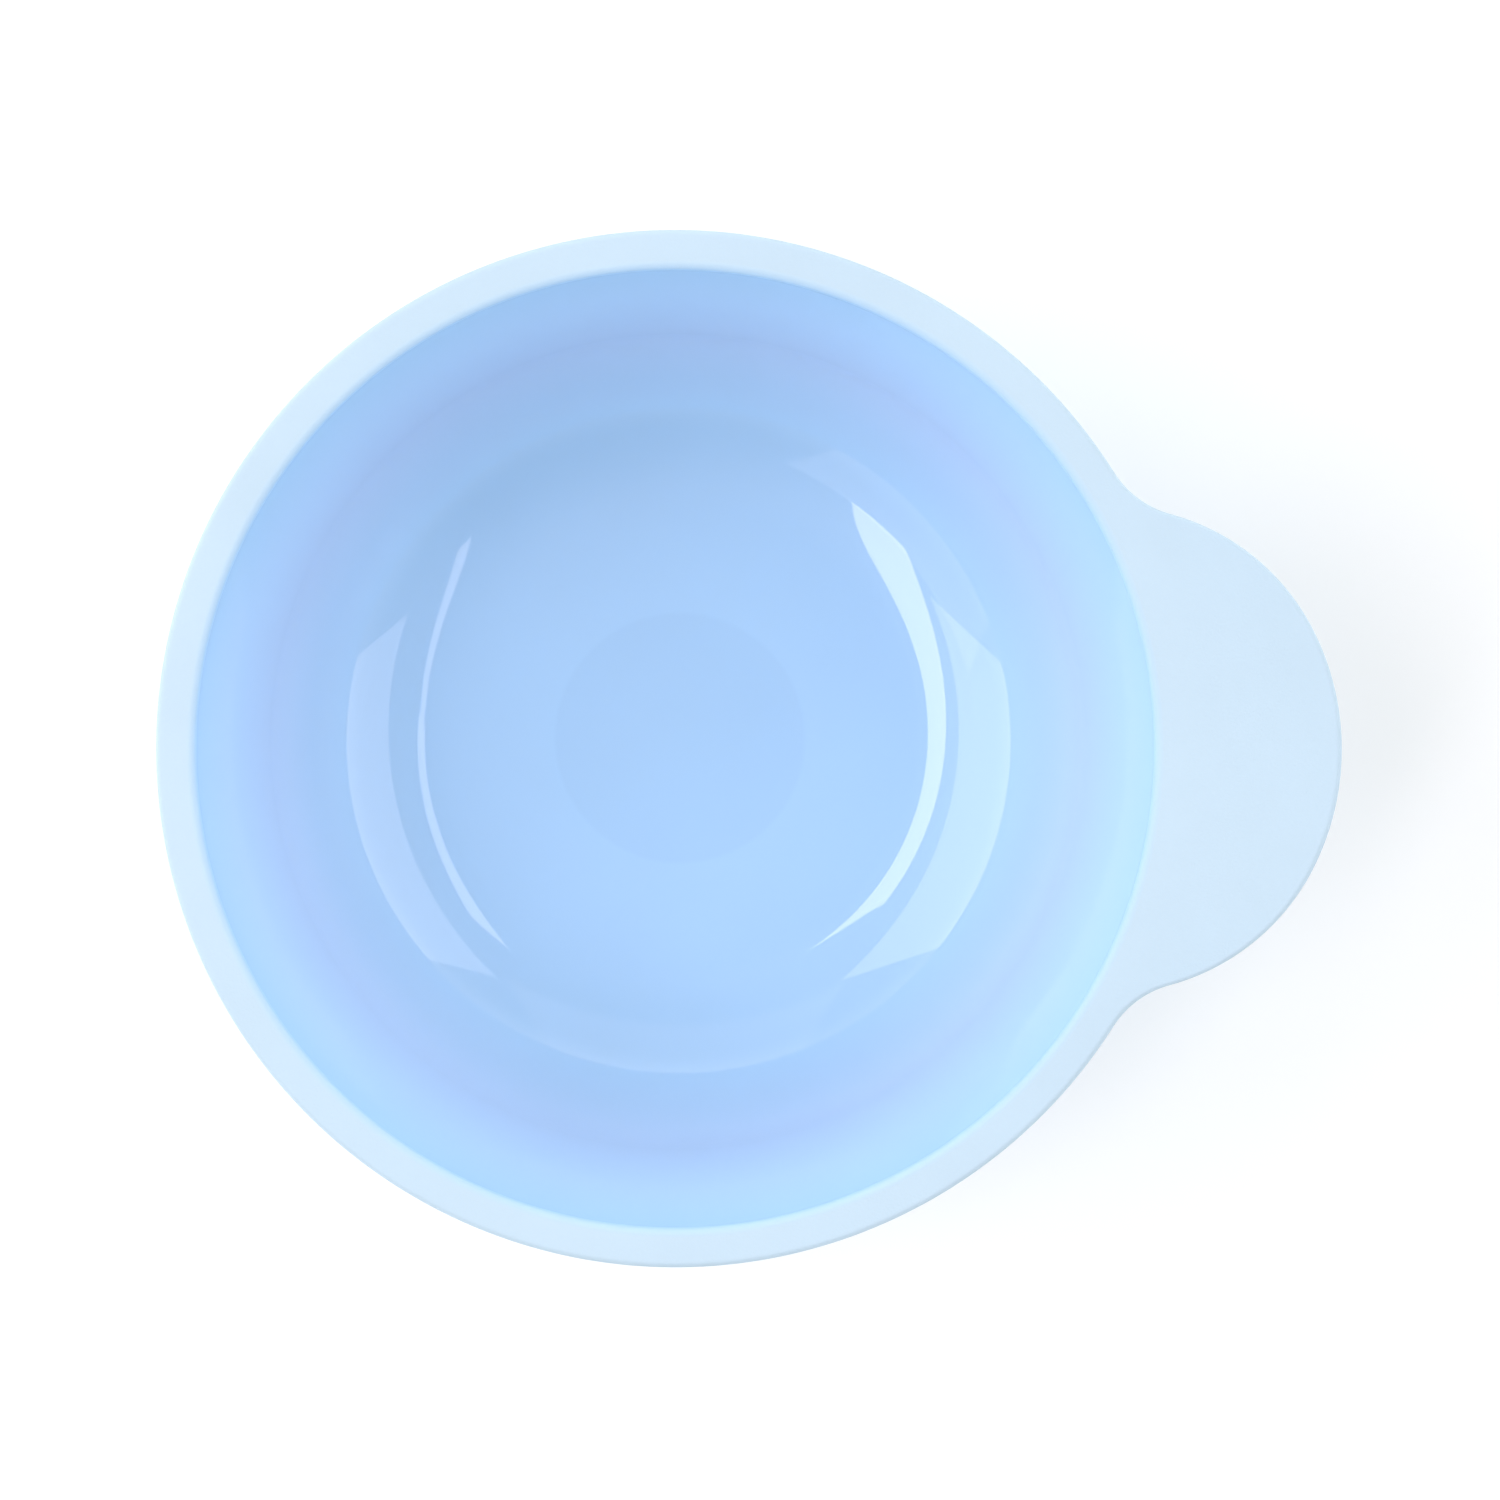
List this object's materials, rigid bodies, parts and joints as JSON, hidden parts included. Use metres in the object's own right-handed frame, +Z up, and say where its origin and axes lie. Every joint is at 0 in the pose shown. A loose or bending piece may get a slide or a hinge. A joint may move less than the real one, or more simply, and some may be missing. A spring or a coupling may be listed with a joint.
{
  "type": "hair color bowl",
  "caption": "Round mixing bowl for hair color, with a glossy inside, a soft matte rim that widens into a flat tab handle, and a non-slip ring in its foot.",
  "frame": {"origin": "on the dish's axis, in the plane of the non-slip ring's standing face", "axes": "+Z up along the dish's axis, +X from the axis to the tip of the tab, +Y to the left of the tab"},
  "size_m": [0.1485, 0.13, 0.055],
  "materials": {
    "shell_plastic": "glossy clear blue polypropylene",
    "soft_cover": "matte pale blue soft-touch elastomer",
    "ring_rubber": "matte blue non-slip rubber"
  },
  "bodies": {
    "root": {"bowl_shell": "shell_plastic", "soft_rim": "soft_cover", "base_ring": "ring_rubber"}
  },
  "joints": []
}
